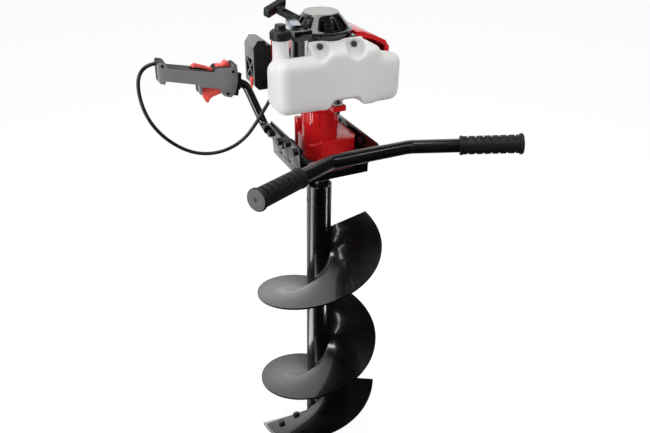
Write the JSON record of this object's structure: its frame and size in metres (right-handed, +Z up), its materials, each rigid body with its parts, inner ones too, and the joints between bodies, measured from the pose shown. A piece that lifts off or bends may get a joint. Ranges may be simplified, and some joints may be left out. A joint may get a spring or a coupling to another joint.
{
  "type": "ice fishing auger",
  "caption": "Petrol ice auger: a black spiral bit with blades under a red gearbox, engine, white tank, folded tray, V handlebar and a side throttle handle.",
  "frame": {"origin": "tip of the pilot point, on the drill axis", "axes": "+Z up along the drill axis, +X the operator's right, +Y away from the front handlebar"},
  "size_m": [0.5192, 0.4379, 0.9965],
  "materials": {
    "bit_black": "gloss",
    "blade_steel": "satin",
    "machined_steel": "satin",
    "black_bolts": "satin",
    "red_cover": "gloss",
    "alloy": "satin",
    "black_plastic": "gloss",
    "matt_black": "matte",
    "handle_grey": "satin",
    "trigger_red": "satin",
    "tank_plastic": "satin",
    "filter_grey": "satin",
    "frame_black": "satin",
    "grip_rubber": "matte",
    "disc_silver": "brushed",
    "ceramic": "gloss",
    "rope_cord": "matte",
    "cable_black": "satin"
  },
  "bodies": {
    "power_head": {"gearbox_housing": "red_cover", "gearbox_base": "alloy", "gearbox_bearings": "machined_steel", "clutch_housing": "red_cover", "crankcase": "alloy", "crank_bearings": "machined_steel", "cylinder": "alloy", "spark_plug": "ceramic", "ignition_coil": "matt_black", "fan_housing": "black_plastic", "recoil_housing": "black_plastic", "recoil_top_disc": "disc_silver", "recoil_spring": "machined_steel", "rope_guide": "matt_black", "engine_shroud": "red_cover", "muffler": "machined_steel", "carburettor": "alloy", "air_filter_case": "matt_black", "air_filter_cover": "filter_grey", "fuel_tank": "tank_plastic", "tank_screws": "black_bolts", "frame_tray": "frame_black", "handlebar": "frame_black", "handlebar_grips": "grip_rubber", "frame_bolts": "black_bolts", "throttle_arm": "frame_black", "handle_front_shell": "handle_grey", "handle_rear_shell": "handle_grey", "handle_clamp": "handle_grey", "throttle_cable": "cable_black"},
    "bit": {"auger_tube": "bit_black", "drive_socket": "bit_black", "output_shaft": "machined_steel", "coupling_pin": "black_bolts", "auger_flight": "bit_black", "second_flight": "bit_black", "cutting_blades": "blade_steel", "blade_bolts": "black_bolts", "pilot_point": "bit_black", "output_gear": "machined_steel"},
    "countershaft": {"countershaft": "machined_steel", "counter_gear": "machined_steel"},
    "clutch_drum": {"clutch_drum": "machined_steel"},
    "crankshaft": {"crank_lower_half": "machined_steel", "crank_upper_half": "machined_steel", "flywheel": "alloy", "clutch_hub": "machined_steel", "clutch_shoes": "machined_steel"},
    "piston": {"piston": "alloy", "connecting_rod": "alloy", "rod_pins": "machined_steel"},
    "starter_handle": {"starter_handle": "matt_black", "starter_rope": "rope_cord"},
    "starter_pulley": {"starter_pulley": "matt_black"},
    "trigger": {"trigger": "trigger_red"},
    "carb_lever": {"carb_throttle_lever": "machined_steel"},
    "lock_lever": {"lock_lever": "trigger_red"},
    "stop_switch": {"stop_switch": "trigger_red"},
    "choke_lever": {"choke_lever": "trigger_red"},
    "fuel_cap": {"fuel_cap": "black_plastic"}
  },
  "joints": [
    {"name": "auger_spin", "type": "hinge", "parent": "power_head", "child": "bit", "pos_m": [0, 0, 0.67], "axis": [0, 0, 1], "continuous": true},
    {"name": "countershaft_spin", "type": "hinge", "parent": "power_head", "child": "countershaft", "pos_m": [0.02149, 0.01803, 0.75], "axis": [0, 0, 1], "continuous": true},
    {"name": "drum_spin", "type": "hinge", "parent": "power_head", "child": "clutch_drum", "pos_m": [0, 0, 0.77], "axis": [0, 0, 1], "continuous": true},
    {"name": "crankshaft_spin", "type": "hinge", "parent": "power_head", "child": "crankshaft", "pos_m": [0, 0, 0.87], "axis": [0, 0, 1], "continuous": true},
    {"name": "piston_stroke", "type": "slide", "parent": "power_head", "child": "piston", "axis": [0, 1, 0], "range_m": [-0.034, 0]},
    {"name": "starter_pull", "type": "slide", "parent": "power_head", "child": "starter_handle", "axis": [-0.5011, 0.8229, 0.2679], "range_m": [0, 0.6], "stiffness_N_per_m": 10, "springref_m": -0.1},
    {"name": "pulley_spin", "type": "hinge", "parent": "power_head", "child": "starter_pulley", "pos_m": [0, 0, 0.96], "axis": [0, 0, 1], "range_deg": [-1645, 0]},
    {"name": "trigger_squeeze", "type": "hinge", "parent": "power_head", "child": "trigger", "pos_m": [-0.1405, 0.118, 0.8345], "axis": [0, 1, 0], "range_deg": [0, 18], "stiffness_Nm_per_rad": 0.5, "springref_deg": -5.73},
    {"name": "throttle_open", "type": "hinge", "parent": "power_head", "child": "carb_lever", "pos_m": [-0.06, 0.03, 0.877], "axis": [0, -1, 0], "range_deg": [0, 36.1]},
    {"name": "lock_press", "type": "hinge", "parent": "power_head", "child": "lock_lever", "pos_m": [-0.1595, 0.118, 0.8705], "axis": [0, -1, 0], "range_deg": [0, 12], "stiffness_Nm_per_rad": 0.2, "springref_deg": -5.73},
    {"name": "switch_rock", "type": "hinge", "parent": "power_head", "child": "stop_switch", "pos_m": [-0.136, 0.118, 0.8735], "axis": [0, 1, 0], "range_deg": [0, 14]},
    {"name": "choke_turn", "type": "hinge", "parent": "power_head", "child": "choke_lever", "pos_m": [-0.114, 0.028, 0.877], "axis": [1, 0, 0], "range_deg": [0, 75]},
    {"name": "cap_turn", "type": "hinge", "parent": "power_head", "child": "fuel_cap", "pos_m": [-0.098, -0.066, 0.97], "axis": [0, 0, 1], "range_deg": [0, 720]}
  ],
  "couplings": [
    {"joint": "countershaft_spin", "follows": "auger_spin", "ratio": -5.6},
    {"joint": "drum_spin", "follows": "auger_spin", "ratio": 31.36},
    {"joint": "pulley_spin", "follows": "starter_pull", "rad_per_m": -47.619},
    {"joint": "throttle_open", "follows": "trigger_squeeze", "ratio": 2}
  ]
}
